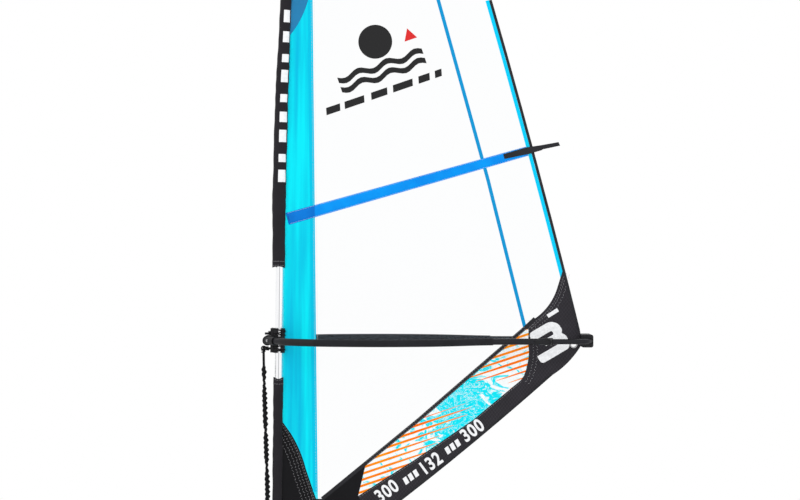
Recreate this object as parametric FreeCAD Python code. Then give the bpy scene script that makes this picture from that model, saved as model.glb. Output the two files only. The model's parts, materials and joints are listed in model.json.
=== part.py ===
"""Windsurf sail rig, in millimetres.

Origin: centre of the base plate's underside.  +Z runs up the lower mast, +X from the mast
towards the clew, and the sail lies in the XZ plane.  Every sub-part is written to parts/.
"""
import FreeCAD, Part
import math
import os

V = FreeCAD.Vector
X, Y, Z = V(1, 0, 0), V(0, 1, 0), V(0, 0, 1)

# ---- driving dimensions ----------------------------------------------------------------
MAST_R = 17.5
MAST_BORE_R = 15.0
MAST_FOOT_Z = 300.0          # lower end of the mast
MAST_JOINT_Z = 1800.0        # two sections of 1500 mm meet here
MAST_TIP_Z = 3300.0
MAST_BEND_R = 40500.0        # the upper section bends towards the leech

SLEEVE_WALL = 1.2
CUTOUT_LOW_Z = 1182.0        # the bare mast shows between these heights
CUTOUT_HIGH_Z = 1652.0
SLEEVE_LOW_Z = 345.0
SLEEVE_HIGH_Z = 3290.0

CLOTH = 0.4                  # half thickness of a sail panel
PLY = 0.5                    # thickness of a tape or patch on a panel

BOOM_X = -47.0               # pitch axis of the boom, along Y
BOOM_Z = 1341.0
BOOM_PITCH = 0.6             # degrees, tail up
ARM_R = 13.0
ARM_BORE_R = 11.4
GRIP_R = 15.2
COLLAR_R = 15.6
LEG_R = 11.0
LEG_BORE_R = 9.2
LEG_Y = 80.0                 # the tail legs run parallel, this far from the sail
LEG_FRONT_X = 972.0
ARM_END_X = 1150.0
TAIL_X = 1314.0
TAIL_CORNER_R = 55.0

EXTENSION_R = 14.6
EXTENSION_WALL = 2.2
EXTENSION_LOW_Z = 190.0
EXTENSION_HIGH_Z = 560.0
TENDON_Z = 72.0              # the two tilt axes cross here
STUD_R = 4.0                 # M8 thread into the board
STUD_LENGTH = 18.0
STUD_SHOULDER_R = 4.5

UPHAUL_R = 7.5
UPHAUL_ROUTE = [(-65, 0, 1293), (-63, 0, 1205), (-53, 0, 960), (-41, 0, 690),
                (-40, 0, 520), (-43, 0, 390), (-43, 0, 296)]

nodes = {}


# ---- helpers -----------------------------------------------------------------------------
def rod(radius, start, end):
    """Solid cylinder from start to end."""
    start, end = V(*start), V(*end)
    return Part.makeCylinder(radius, start.distanceToPoint(end), start, end - start)


def pipe(outer, inner, start, end):
    """Hollow cylinder from start to end."""
    return rod(outer, start, end).cut(rod(inner, start, end))


def block(low, high):
    """Box between two opposite corners."""
    size = V(*high) - V(*low)
    return Part.makeBox(size.x, size.y, size.z, V(*low))


def mirrored(shape):
    """The same shape on the other side of the sail."""
    return shape.mirror(V(0, 0, 0), Y)


def pair(shape):
    """A shape and its mirror image as two solids."""
    return Part.makeCompound([shape, mirrored(shape)])


def outline(start, *legs):
    """Closed face in the XZ plane; a leg is a point, or a pair (through, end) for an arc."""
    edges = []
    here = V(start[0], 0, start[1])
    first = here
    for leg in legs:
        if isinstance(leg[0], tuple):
            through = V(leg[0][0], 0, leg[0][1])
            end = V(leg[1][0], 0, leg[1][1])
            edges.append(Part.Arc(here, through, end).toShape())
        else:
            end = V(leg[0], 0, leg[1])
            edges.append(Part.LineSegment(here, end).toShape())
        here = end
    edges.append(Part.LineSegment(here, first).toShape())
    return Part.Face(Part.Wire(edges))


def plate(face, low_y, high_y):
    """A face of the XZ plane given thickness between two Y values."""
    lifted = face.translated(V(0, low_y, 0))
    return lifted.extrude(V(0, high_y - low_y, 0))


def line_band(start, end, before, after):
    """Face along a straight line, before wide to its left and after wide to its right."""
    way = V(end[0] - start[0], 0, end[1] - start[1]).normalize()
    side = V(-way.z, 0, way.x)
    a, b = V(start[0], 0, start[1]), V(end[0], 0, end[1])
    corners = [a + side * before, b + side * before, b - side * after, a - side * after]
    return outline(*[(p.x, p.z) for p in corners])


def arc_band(start, through, end, inward, outward=0.0):
    """Face along an arc, offset towards the arc's centre and away from it."""
    points = [V(p[0], 0, p[1]) for p in (start, through, end)]
    centre = Part.Arc(*points).toShape().Curve.Center

    def shifted(point, distance):
        away = (point - centre).normalize()
        moved = point + away * distance
        return (moved.x, moved.z)

    outer = [shifted(p, outward) for p in points]
    inner = [shifted(p, -inward) for p in points]
    return outline(outer[0], (outer[1], outer[2]), inner[2], (inner[1], inner[0]))


def rounded_wire(points, radius=None):
    """Straight runs joined by tangent arcs; with no radius each arc is as large as fits."""
    points = [V(*p) for p in points]
    edges = []
    radii = []
    here = points[0]
    for before, corner, after in zip(points, points[1:], points[2:]):
        back, forward = (before - corner), (after - corner)
        shorter = min(back.Length, forward.Length)
        back, forward = back.normalize(), forward.normalize()
        half_turn = (math.pi - back.getAngle(forward)) / 2
        bend = radius or 0.45 * shorter / math.tan(half_turn)
        reach = bend * math.tan(half_turn)
        start, end = corner + back * reach, corner + forward * reach
        inside = (back + forward).normalize()
        depth = bend / math.cos(half_turn) - bend
        edges.append(Part.LineSegment(here, start).toShape())
        edges.append(Part.Arc(start, corner + inside * depth, end).toShape())
        radii.append(round(bend, 1))
        here = end
    edges.append(Part.LineSegment(here, points[-1]).toShape())
    return Part.Wire(edges), radii


def swept(wire, radius):
    """Round bar along a wire."""
    start = wire.Edges[0].valueAt(wire.Edges[0].FirstParameter)
    way = wire.Edges[0].tangentAt(wire.Edges[0].FirstParameter)
    circle = Part.Wire(Part.makeCircle(radius, start, way))
    return wire.makePipeShell([circle], True, False)


def hexagon(across, start, end):
    """Hexagonal bar for bolt heads and nuts."""
    start, end = V(*start), V(*end)
    way = (end - start).normalize()
    side = way.cross(X if abs(way.x) < 0.9 else Y).normalize() * (across / math.sqrt(3))
    turn = FreeCAD.Rotation(way, 60)
    corners = [side]
    for _ in range(5):
        corners.append(turn.multVec(corners[-1]))
    wire = Part.makePolygon([start + c for c in corners] + [start + corners[0]])
    return Part.Face(wire).extrude(end - start)


def mast_x(z):
    """Where the mast's centre line is at a height."""
    rise = max(0.0, z - MAST_JOINT_Z)
    return MAST_BEND_R - math.sqrt(MAST_BEND_R ** 2 - rise ** 2)


def on_mast(shape, z):
    """Moves a shape built about the Z axis at height 0 onto the mast at height z."""
    lean = math.degrees(math.asin(max(0.0, z - MAST_JOINT_Z) / MAST_BEND_R))
    moved = shape.copy()
    moved.rotate(V(0, 0, 0), Y, lean)
    moved.translate(V(mast_x(z), 0, z))
    return moved


# ---- mast ------------------------------------------------------------------------------
def bent_bar(radius, low_z, high_z):
    """Part of the upper mast's curve as a round bar."""
    low = math.degrees(math.asin((low_z - MAST_JOINT_Z) / MAST_BEND_R))
    high = math.degrees(math.asin((high_z - MAST_JOINT_Z) / MAST_BEND_R))
    disc = Part.Face(Part.Wire(Part.makeCircle(radius, V(0, 0, MAST_JOINT_Z), Z)))
    centre = V(MAST_BEND_R, 0, MAST_JOINT_Z)
    disc.rotate(centre, Y, low)
    return disc.revolve(centre, Y, high - low)


def make_mast():
    nodes["mast_lower_section"] = pipe(MAST_R, MAST_BORE_R, (0, 0, MAST_FOOT_Z),
                                       (0, 0, MAST_JOINT_Z))
    outer = bent_bar(MAST_R, MAST_JOINT_Z, MAST_TIP_Z)
    nodes["mast_upper_section"] = outer.cut(bent_bar(MAST_BORE_R, MAST_JOINT_Z, MAST_TIP_Z))
    below = rod(MAST_BORE_R, (0, 0, MAST_JOINT_Z - 110), (0, 0, MAST_JOINT_Z))
    above = bent_bar(MAST_BORE_R, MAST_JOINT_Z, MAST_JOINT_Z + 110)
    bore = rod(MAST_BORE_R - 2.5, (0, 0, MAST_JOINT_Z - 111), (0, 0, MAST_JOINT_Z + 111))
    nodes["mast_ferrule"] = below.fuse(above).cut(bore).removeSplitter()
    plug = rod(MAST_BORE_R - 0.4, (0, 0, -40), (0, 0, 0)).fuse(rod(MAST_R, (0, 0, 0), (0, 0, 6)))
    nodes["mast_tip_plug"] = on_mast(plug, MAST_TIP_Z)


# ---- mast extension, collar and base -----------------------------------------------------
def make_extension():
    tube = pipe(EXTENSION_R, EXTENSION_R - EXTENSION_WALL, (0, 0, EXTENSION_LOW_Z + 30),
                (0, 0, EXTENSION_HIGH_Z))
    for step in range(5):
        height = EXTENSION_HIGH_Z - 40 - 30 * step
        tube = tube.cut(rod(3.2, (0, -20, height), (0, 20, height)))
    nodes["extension_tube"] = tube

    cup = rod(22, (0, 0, 152), (0, 0, EXTENSION_LOW_Z)).fuse(
        Part.makeCone(22, EXTENSION_R, 12, V(0, 0, EXTENSION_LOW_Z), Z))
    cup = cup.fuse(rod(EXTENSION_R - EXTENSION_WALL, (0, 0, 200), (0, 0, 245)))
    cup = cup.fuse(rod(EXTENSION_R, (0, 0, 200), (0, 0, EXTENSION_LOW_Z + 30)))
    cup = cup.cut(rod(6.06, (0, 0, 150), (0, 0, 196)))
    nodes["foot_cup"] = cup.removeSplitter()


def make_collar():
    """Collar that carries the mast on the extension, with the downhaul sheave and cleat."""
    ring = pipe(24, EXTENSION_R + 0.35, (0, 0, 248), (0, 0, MAST_FOOT_Z))
    cheeks = [block((18, y, 250), (62, y + 4, 284)) for y in (-9, 5)]
    bridge = block((20, -9, 250), (30, 9, 284))
    body = ring.fuse(bridge).fuse(cheeks)
    body = body.cut(rod(EXTENSION_R + 0.35, (0, 0, 240), (0, 0, 310)))
    body = body.cut(rod(3, (50, -20, 268), (50, 20, 268)))
    body = body.fuse(block((-34, -3, 258), (-22, 3, 292)))
    body = body.cut(rod(4.5, (-29, -10, 284), (-29, 10, 284)))
    nodes["extension_collar"] = body.removeSplitter()
    nodes["sheave_axle"] = rod(3, (50, -12, 268), (50, 12, 268)).fuse(
        rod(5, (50, 9, 268), (50, 12, 268))).fuse(rod(5, (50, -12, 268), (50, -9, 268)))
    sheave = rod(14, (50, -4.5, 268), (50, 4.5, 268))
    groove = Part.makeTorus(15, 3, V(50, 0, 268), Y)
    nodes["downhaul_sheave"] = sheave.cut(groove).cut(rod(3.06, (50, -5, 268), (50, 5, 268)))
    cleat = block((-8, -36, 252), (8, -24, 282)).cut(block((-1.6, -37, 250), (1.6, -29, 284)))
    nodes["downhaul_cleat"] = cleat


def half_tendon(end_z):
    """Rubber half of the hourglass, from the waist to one cup."""
    toward = 1 if end_z > TENDON_Z else -1
    waist_z = TENDON_Z + toward * 5
    profile = Part.Arc(V(16, 0, end_z), V(11.6, 0, (end_z + waist_z) / 2 + toward * 2),
                       V(11, 0, waist_z)).toShape()
    edges = [profile]
    for start, end in (((11, waist_z), (0, waist_z)), ((0, waist_z), (0, end_z)),
                       ((0, end_z), (16, end_z))):
        edges.append(Part.LineSegment(V(start[0], 0, start[1]), V(end[0], 0, end[1])).toShape())
    return Part.Face(Part.Wire(edges)).revolve(V(0, 0, 0), Z, 360)


def make_base():
    pin = rod(6, (0, 0, 140), (0, 0, 192)).cut(Part.makeTorus(7.5, 2.6, V(0, 0, 172), Z))
    nodes["swivel_pin"] = pin
    cup = rod(21, (0, 0, 114), (0, 0, 151)).cut(rod(6, (0, 0, 140), (0, 0, 152)))
    cup = cup.fuse(pipe(21, 16, (0, 0, 104), (0, 0, 114)))
    nodes["tendon_upper_cup"] = cup.cut(rod(3, (0, -22, 122), (0, 22, 122))).removeSplitter()
    nodes["tendon_upper_bolt"] = rod(3, (0, -25, 122), (0, 21, 122)).fuse(
        hexagon(10, (0, 21, 122), (0, 25, 122)))
    nodes["tendon_upper_half"] = half_tendon(114)
    nodes["tendon_waist"] = rod(12.5, (0, 0, TENDON_Z - 4.6), (0, 0, TENDON_Z + 4.6))
    nodes["tendon_lower_half"] = half_tendon(30)
    cup = rod(21, (0, 0, 12), (0, 0, 30)).fuse(pipe(21, 16, (0, 0, 30), (0, 0, 40)))
    cup = cup.fuse(rod(44, (0, 0, 4), (0, 0, 10)))
    cup = cup.fuse(Part.makeCone(44, 30, 5, V(0, 0, 10), Z))
    cup = cup.cut(rod(STUD_SHOULDER_R, (0, 0, 0), (0, 0, 20))).cut(rod(3, (0, -22, 22), (0, 22, 22)))
    nodes["base_plate"] = cup.cut(hexagon(13, (0, 0, 12), (0, 0, 19.5))).removeSplitter()
    nodes["tendon_lower_bolt"] = rod(3, (0, -25, 22), (0, 21, 22)).fuse(
        hexagon(10, (0, 21, 22), (0, 25, 22)))
    nodes["base_pad"] = pipe(44, STUD_SHOULDER_R, (0, 0, 0), (0, 0, 4))
    stud = rod(STUD_R, (0, 0, -STUD_LENGTH), (0, 0, 0)).fuse(rod(STUD_SHOULDER_R, (0, 0, 0), (0, 0, 12)))
    nodes["base_stud"] = stud.fuse(hexagon(13, (0, 0, 12), (0, 0, 18)))


# ---- sail --------------------------------------------------------------------------------
LEECH_TOP, LEECH_MID, LEECH_LOW = (886, 2796), (1088, 2100), (1276, 1400)
HEAD_A, HEAD_B, HEAD_C = (775, 3010), (590, 3172), (335, 3276)
HEAD_TIP = (50, 3312)
FOOT_FRONT, FOOT_MID, FOOT_AFT = (45, 306), (640, 758), (1162, 1207)
CLEW_MID, CLEW = (1232, 1266), (1280, 1330)

TACK_TOP = [(21, 994), ((65, 929), (120, 796)), (164, 670)]
FOOT_SEAM = [(190, 670), (375, 825), (596, 1010), (963, 1334)]
CLEW_EDGE = [(1043, 1405), (1085, 1446), ((1144, 1506), (1178, 1578)), (1199, 1648)]
CLEW_TIP = (1058, 1398)
BAND_TOP = [(343, 684), (448, 754), (580, 840), (827, 1012), (1029, 1184)]
CLEW_LOWER = [(1041, 1203), (1050, 1228), (1056, 1256), (1060, 1282), (1061, 1305), (1058, 1334)]
SEAM = [(1043, 1405), (879, 2032), (659, 2793), (520, 3280)]
LUFF_SEAM = [(172, 670), (114, 3360)]
CLEW_RING = (1250, 1338)
TACK_RING = (48, 350)
MAIN_BATTEN = ((29, 1856.5), (1043, 2155))
TOP_BATTEN = ((40, 2850), (748, 2996))


def sail_outline():
    luff = [(mast_x(z) + MAST_R + 1.6, z) for z in (SLEEVE_HIGH_Z, MAST_JOINT_Z)]
    bend_z = (SLEEVE_HIGH_Z + MAST_JOINT_Z) / 2
    bend = (mast_x(bend_z) + MAST_R + 1.6, bend_z)
    return outline(FOOT_FRONT, (FOOT_MID, FOOT_AFT), (CLEW_MID, CLEW), (1284, 1356), LEECH_LOW,
                   (LEECH_MID, LEECH_TOP), (HEAD_A, HEAD_B), (HEAD_C, HEAD_TIP), luff[0],
                   (bend, luff[1]), (luff[1][0], 310))


def make_panels():
    sail = plate(sail_outline(), -CLOTH, CLOTH)
    far_left, far_right, top = -60, 1400, 3400
    regions = {
        "tack_patch": [(far_left, 1066)] + TACK_TOP + FOOT_SEAM[:2] + [BAND_TOP[0], (440, 500),
                                                                       (far_left, 200)],
        "luff_panel": [(far_left, 1066)] + TACK_TOP + LUFF_SEAM + [(far_left, top)],
        "window_panel": [LUFF_SEAM[0]] + FOOT_SEAM + SEAM + [LUFF_SEAM[1]],
        "leech_panel": CLEW_EDGE + [(far_right, 1650), (far_right, top), SEAM[3], SEAM[2], SEAM[1]],
        "clew_patch": CLEW_EDGE + [(far_right, 1650), (far_right, 1080), (1150, 1100),
                                   BAND_TOP[4]] + CLEW_LOWER + [CLEW_TIP],
        "graphic_panel": FOOT_SEAM[1:] + [CLEW_EDGE[0], CLEW_TIP] + CLEW_LOWER[::-1] + BAND_TOP[::-1],
        "foot_band": BAND_TOP + [(1150, 1100), (440, 500)],
    }
    ring_hole = rod(11.5, (CLEW_RING[0], -5, CLEW_RING[1]), (CLEW_RING[0], 5, CLEW_RING[1]))
    tack_hole = rod(11.5, (TACK_RING[0], -5, TACK_RING[1]), (TACK_RING[0], 5, TACK_RING[1]))
    for name, corners in regions.items():
        region = plate(outline(corners[0], *corners[1:]), -2, 2)
        nodes[name] = sail.common(region)
    nodes["clew_patch"] = nodes["clew_patch"].cut(ring_hole)
    nodes["tack_patch"] = nodes["tack_patch"].cut(tack_hole)
    rings = []
    for x, z in (CLEW_RING, TACK_RING):
        ring = pipe(16, 11, (x, -3.5, z), (x, 3.5, z))
        rings.append(ring.cut(pipe(17, 11, (x, -CLOTH, z), (x, CLOTH, z)).cut(
            rod(11.4, (x, -CLOTH, z), (x, CLOTH, z)))))
    nodes["sail_rings"] = Part.makeCompound(rings)


def both_faces(face, clip=None):
    """A ply on each face of the sail, kept inside the clip shape."""
    ply = plate(face, CLOTH, CLOTH + PLY)
    if clip:
        ply = ply.common(clip)
    return pair(ply)


def make_tapes():
    inside = plate(sail_outline(), 0, 2)
    seam_faces = [line_band(a, b, 7.5, 7.5) for a, b in zip(SEAM[1:], SEAM[2:])]
    first = line_band(SEAM[0], SEAM[1], 7.5, 7.5)
    seam = both_faces(first.fuse(seam_faces).removeSplitter(), inside)
    luff_seam = both_faces(line_band((171, 700), (116, 3262), 20, 0), inside)
    foot_line = FOOT_SEAM + CLEW_EDGE[:2]
    foot_faces = [line_band(a, b, 8, 8) for a, b in zip(foot_line, foot_line[1:])]
    binding = both_faces(foot_faces[0].fuse(foot_faces[1:]).removeSplitter())
    nodes["foot_seam_binding"] = binding
    nodes["seam_tapes"] = Part.makeCompound([t.cut(binding) for t in seam.Solids] + luff_seam.Solids)
    leech = both_faces(arc_band(LEECH_LOW, LEECH_MID, LEECH_TOP, 12))
    strip_low, strip_mid, strip_top = (1216, 1583), (1076, 2097), (874, 2794)
    above_clew = plate(outline(*CLEW_EDGE, (1400, 1660), (1400, 3400), (500, 3400)), 0, 2)
    nodes["leech_strip"] = both_faces(arc_band(strip_low, strip_mid, strip_top, 15), above_clew)
    foot = arc_band(FOOT_FRONT, FOOT_MID, FOOT_AFT, 10)
    foot = both_faces(foot, inside)
    nodes["edge_bindings"] = Part.makeCompound(leech.Solids + foot.Solids)
    head = outline((0, 2590), (34, 2638), ((76, 2704), (107, 2787)), ((190, 3010), (420, 3270)),
                   (400, 3400), (0, 3400))
    nodes["head_overlay"] = both_faces(head, inside.cut(plate(
        line_band((171, 700), (116, 3262), 20.2, 0), 0, 3)))


def batten_pocket(line, front_width, rear_width):
    """Flat pocket on the near face of the sail with a cavity for its batten."""
    start, end = V(line[0][0], 0, line[0][1]), V(line[1][0], 0, line[1][1])
    way = (end - start).normalize()
    side = V(-way.z, 0, way.x)
    corners = [start + side * front_width / 2, end + side * rear_width / 2,
               end - side * rear_width / 2, start - side * front_width / 2]
    cover = plate(outline(*[(p.x, p.z) for p in corners]), -CLOTH - 3.6, -CLOTH)
    room = plate(line_band(line[0], line[1], 12, 12), -CLOTH - 3.0, -CLOTH)
    inner_start = start + way * 6
    inner_end = end - way * 6
    batten = plate(line_band((inner_start.x, inner_start.z), (inner_end.x, inner_end.z), 11, 11),
                   -CLOTH - 2.8, -CLOTH - 0.2)
    return cover.cut(room), batten


def make_battens():
    main_pocket, main_batten = batten_pocket(MAIN_BATTEN, 52, 40)
    top_pocket, top_batten = batten_pocket(TOP_BATTEN, 44, 34)
    nodes["batten_pockets"] = Part.makeCompound([main_pocket, top_pocket])
    for name in ("head_overlay", "seam_tapes"):
        for line, width in ((MAIN_BATTEN, 26.5), (TOP_BATTEN, 22.5)):
            under = plate(line_band(line[0], line[1], width, width), -2, 0)
            nodes[name] = nodes[name].cut(under)
    nodes["battens"] = Part.makeCompound([main_batten, top_batten])
    strap = outline((942, 2141), (1040, 2171), (1102, 2181), (1176, 2195), (1183, 2180),
                    (1108, 2163), (1106, 2160), (1050, 2143), (948, 2121))
    nodes["batten_strap"] = plate(strap, -CLOTH - 4.8, -CLOTH - 3.7)


def sleeve_section(z, front, rear, half_width):
    """Oval across the luff sleeve at one height."""
    centre = V((front + rear) / 2, 0, z)
    long_half = (rear - front) / 2
    if long_half >= half_width:
        oval = Part.Ellipse(centre, long_half, half_width)
    else:
        oval = Part.Ellipse(V(centre.x, half_width, z), V(centre.x + long_half, 0, z), centre)
    return Part.Wire(oval.toShape())


def sleeve(sections):
    """Fabric tube through (height, front, rear, half width) sections."""
    outer = Part.makeLoft([sleeve_section(*s) for s in sections], True, True)
    thinner = [(z, f + SLEEVE_WALL, r - SLEEVE_WALL, w - SLEEVE_WALL) for z, f, r, w in sections]
    inner = Part.makeLoft([sleeve_section(*s) for s in thinner], True, True)
    return outer.cut(inner)


def make_sleeves():
    nodes["luff_sleeve_upper"] = sleeve([
        (CUTOUT_HIGH_Z, -31, 21, 20.5), (1937, -35, 21.5, 20.5), (2361, -28, 27, 20.5),
        (2786, -9, 36, 20.5), (SLEEVE_HIGH_Z, 3.5, 51.5, 20.5)])
    nodes["luff_sleeve_lower"] = sleeve([
        (SLEEVE_LOW_Z, -21, 19.2, 19.4), (750, -21, 19.2, 19.4), (CUTOUT_LOW_Z, -21.4, 19.2, 19.4)])
    cap = rod(22, (0, 0, -6), (0, 0, 14)).cut(rod(20.9, (0, 0, -7), (0, 0, 8)))
    straps = block((21, -2.6, -6), (74, 2.6, 12)).cut(rod(20.9, (0, 0, -7), (0, 0, 13)))
    slot_for_sail = block((10, -1.2, -12), (90, 1.2, 22))
    nodes["head_cap"] = on_mast(cap.fuse(straps).cut(slot_for_sail), MAST_TIP_Z)


# ---- boom --------------------------------------------------------------------------------
def c_ring(outer, inner, half_height):
    """Clamp ring round the mast, open at the rear for the sail and at the sides."""
    ring = pipe(outer, inner, (0, 0, BOOM_Z - half_height), (0, 0, BOOM_Z + half_height))
    ring = ring.cut(block((0, -5, 1200), (40, 5, 1500)))
    for low, high in ((BOOM_Z - half_height - 1, BOOM_Z - 17), (BOOM_Z + 17, BOOM_Z + half_height + 1)):
        ring = ring.cut(block((-4, -40, low), (12, 40, high)))
    return ring


def make_boom_head():
    body = c_ring(26, 20, 52)
    spine = block((-36, -12.5, BOOM_Z - 51), (-17, 12.5, BOOM_Z + 51))
    spine = spine.makeFillet(4, [e for e in spine.Edges if abs(e.tangentAt(0).z) > 0.9])
    hub = rod(15, (BOOM_X, -13, BOOM_Z), (BOOM_X, 13, BOOM_Z))
    neck = block((BOOM_X, -9, BOOM_Z - 13), (-30, 9, BOOM_Z + 13))
    lugs = [block((-36, 0, BOOM_Z + z), (-16, 31, BOOM_Z + z + 4.5)) for z in (22, 46)]
    bracket = block((-60, -7, BOOM_Z - 39), (-30, 7, BOOM_Z - 30))
    upper_bracket = block((-60, -7, BOOM_Z + 24), (-30, 7, BOOM_Z + 33))
    eye = Part.makeTorus(8.5, 3.2, V(-65, 0, BOOM_Z - 34.5), Y)
    body = body.fuse([spine, hub, neck, bracket, upper_bracket, eye] + lugs)
    body = body.cut(rod(20, (0, 0, 1200), (0, 0, 1500)))
    body = body.cut(rod(4.06, (BOOM_X, -20, BOOM_Z), (BOOM_X, 20, BOOM_Z)))
    nodes["boom_head_body"] = body.cut(rod(2.5, (-30, 26, 1300), (-30, 26, 1500))).removeSplitter()
    nodes["head_liner"] = c_ring(20, 17.9, 50)
    nodes["lever_pin"] = rod(2.5, (-30, 26, BOOM_Z + 20), (-30, 26, BOOM_Z + 52.5))
    barrel = rod(5, (-30, 26, BOOM_Z + 27), (-30, 26, BOOM_Z + 45.5))
    handle = outline((-30, BOOM_Z + 27), (-12, BOOM_Z + 27), ((8, BOOM_Z + 28.5), (26, BOOM_Z + 30)),
                     (26, BOOM_Z + 42.5), ((8, BOOM_Z + 44), (-12, BOOM_Z + 45.5)), (-30, BOOM_Z + 45.5))
    lever = barrel.fuse(plate(handle, 27.5, 31))
    nodes["clamp_lever"] = lever.cut(rod(2.56, (-30, 26, 1300), (-30, 26, 1500))).removeSplitter()


def arm_wire():
    """Centre line of the far arm in plan, bowed out and brought back parallel."""
    way = V(30, 34, 0).normalize()
    start = V(BOOM_X, 20, 0) + way * 16
    bow = V(BOOM_X, 20, 0) + way * 128
    plan = [(start.x, start.y), (bow.x, bow.y), (190, 176), (430, 200), (680, 172), (880, LEG_Y),
            (ARM_END_X, LEG_Y)]
    wire, _ = rounded_wire([(x, y, BOOM_Z) for x, y in plan])
    return wire


def pitched(shape):
    """Turns a boom piece to its rest pitch about the head pivot."""
    moved = shape.copy()
    moved.rotate(V(BOOM_X, 0, BOOM_Z), Y, -BOOM_PITCH)
    return moved


def make_front_bracket():
    side = rod(21, (BOOM_X, 13.6, BOOM_Z), (BOOM_X, 25, BOOM_Z))
    way = V(30, 34, 0).normalize()
    root = V(BOOM_X, 20, BOOM_Z)
    socket = rod(18, tuple(root), tuple(root + way * 52))
    socket = socket.cut(rod(ARM_R, tuple(root + way * 16), tuple(root + way * 60)))
    side = side.fuse(socket).cut(block((-120, -40, 1200), (40, 13.6, 1500)))
    nose = pipe(21, 16.2, (BOOM_X, -13.6, BOOM_Z), (BOOM_X, 13.6, BOOM_Z))
    nose = nose.common(block((-80, -20, BOOM_Z - 19), (-56, 20, BOOM_Z + 19)))
    bracket = side.fuse([mirrored(side), nose])
    bracket = bracket.cut(rod(4, (BOOM_X, -60, BOOM_Z), (BOOM_X, 60, BOOM_Z)))
    bracket = bracket.cut(pair(rod(8, (BOOM_X, 25, BOOM_Z), (BOOM_X, 60, BOOM_Z))))
    nodes["front_bracket"] = pitched(bracket.removeSplitter())
    bolt = rod(4, (BOOM_X, -25, BOOM_Z), (BOOM_X, 25, BOOM_Z))
    head = rod(7, (BOOM_X, 25, BOOM_Z), (BOOM_X, 29, BOOM_Z))
    nut = hexagon(13, (BOOM_X, -31, BOOM_Z), (BOOM_X, -25, BOOM_Z))
    nodes["boom_pivot_bolt"] = pitched(bolt.fuse([head, nut]))


def make_arms():
    wire = arm_wire()
    core = swept(wire, ARM_R)
    tube = core.cut(swept(wire, ARM_BORE_R))
    tube = tube.cut(rod(3.6, (1085, LEG_Y + 5, BOOM_Z), (1085, LEG_Y + 20, BOOM_Z)))
    cover = swept(wire, GRIP_R).cut(core)
    front = cover.common(block((8, 0, 1200), (156, 300, 1500)))
    grip = cover.common(block((157, 0, 1200), (902, 300, 1500)))
    collar = pipe(COLLAR_R, ARM_R, (1118, LEG_Y, BOOM_Z), (1152, LEG_Y, BOOM_Z))
    collar = collar.fuse(block((1134, LEG_Y + 10, BOOM_Z - 11), (1150, LEG_Y + 27, BOOM_Z + 11)))
    collar = collar.cut(rod(ARM_R, (1100, LEG_Y, BOOM_Z), (1160, LEG_Y, BOOM_Z)))
    collar = collar.cut(block((1133, LEG_Y + 19, BOOM_Z - 7), (1152, LEG_Y + 30, BOOM_Z + 7)))
    collar = collar.cut(rod(2, (1143, LEG_Y + 23.5, BOOM_Z - 15), (1143, LEG_Y + 23.5, BOOM_Z + 15)))
    pin = rod(2, (1143, LEG_Y + 23.5, BOOM_Z - 12), (1143, LEG_Y + 23.5, BOOM_Z + 12))
    clip = block((1077, LEG_Y + 19.6, BOOM_Z - 6.5), (1141, LEG_Y + 23, BOOM_Z + 6.5))
    clip = clip.fuse(rod(3.2, (1143, LEG_Y + 23.5, BOOM_Z - 6.5), (1143, LEG_Y + 23.5, BOOM_Z + 6.5)))
    clip = clip.fuse(rod(3, (1085, LEG_Y + LEG_R + 0.9, BOOM_Z), (1085, LEG_Y + 20, BOOM_Z)))
    clip = clip.cut(rod(2.06, (1143, LEG_Y + 23.5, BOOM_Z - 15), (1143, LEG_Y + 23.5, BOOM_Z + 15)))
    pieces = {"arm_tubes": tube, "arm_front_covers": front, "grips": grip, "arm_collars": collar,
              "clip_pins": pin}
    for name, far in pieces.items():
        nodes[name] = pair(pitched(far))
    nodes["adjuster_clip_far"] = pitched(clip)
    nodes["adjuster_clip_near"] = mirrored(pitched(clip))


def make_tail():
    corners = [(LEG_FRONT_X, LEG_Y), (TAIL_X, LEG_Y), (TAIL_X, -LEG_Y), (LEG_FRONT_X, -LEG_Y)]
    wire, _ = rounded_wire([(x, y, BOOM_Z) for x, y in corners], TAIL_CORNER_R)
    bar = swept(wire, LEG_R)
    nodes["tail_tube"] = pitched(bar.cut(swept(wire, LEG_BORE_R)))
    fitting = block((1277, -42, BOOM_Z - 27), (1328, 42, BOOM_Z + 27))
    fitting = fitting.makeFillet(9, [e for e in fitting.Edges if abs(e.tangentAt(0).y) > 0.9])
    fitting = fitting.cut(block((1270, -6, 1200), (TAIL_X - LEG_R, 6, 1500)))
    for y in (-19, 7):
        fitting = fitting.cut(block((1270, y, BOOM_Z - 14), (1302, y + 12, BOOM_Z + 14)))
    for y in (-34, 26):
        fitting = fitting.cut(block((1270, y, BOOM_Z + 17), (1335, y + 8, BOOM_Z + 30)))
    fitting = fitting.cut(swept(wire, LEG_R))
    pin = rod(2.5, (1290, 6.4, BOOM_Z), (1290, 26, BOOM_Z))
    fitting = fitting.cut(pair(pin))
    nodes["tail_fitting"] = pitched(fitting)
    nodes["outhaul_roller_pins"] = pitched(pair(pin))
    for name, y in (("outhaul_roller_near", -13), ("outhaul_roller_far", 13)):
        roller = rod(9, (1290, y - 5, BOOM_Z), (1290, y + 5, BOOM_Z))
        roller = roller.cut(Part.makeTorus(10.5, 3.2, V(1290, y, BOOM_Z), Y))
        nodes[name] = pitched(roller.cut(rod(2.56, (1290, y - 8, BOOM_Z), (1290, y + 8, BOOM_Z))))
    route = [(1297, 13, 1365), (1287, 13, 1365), (1254, 8, 1341), (1254, -8, 1341),
             (1287, -13, 1365), (1297, -13, 1365)]
    line, radii = rounded_wire(route)
    print("outhaul bend radii", radii)
    nodes["outhaul_line"] = swept(line, 2)


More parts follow.
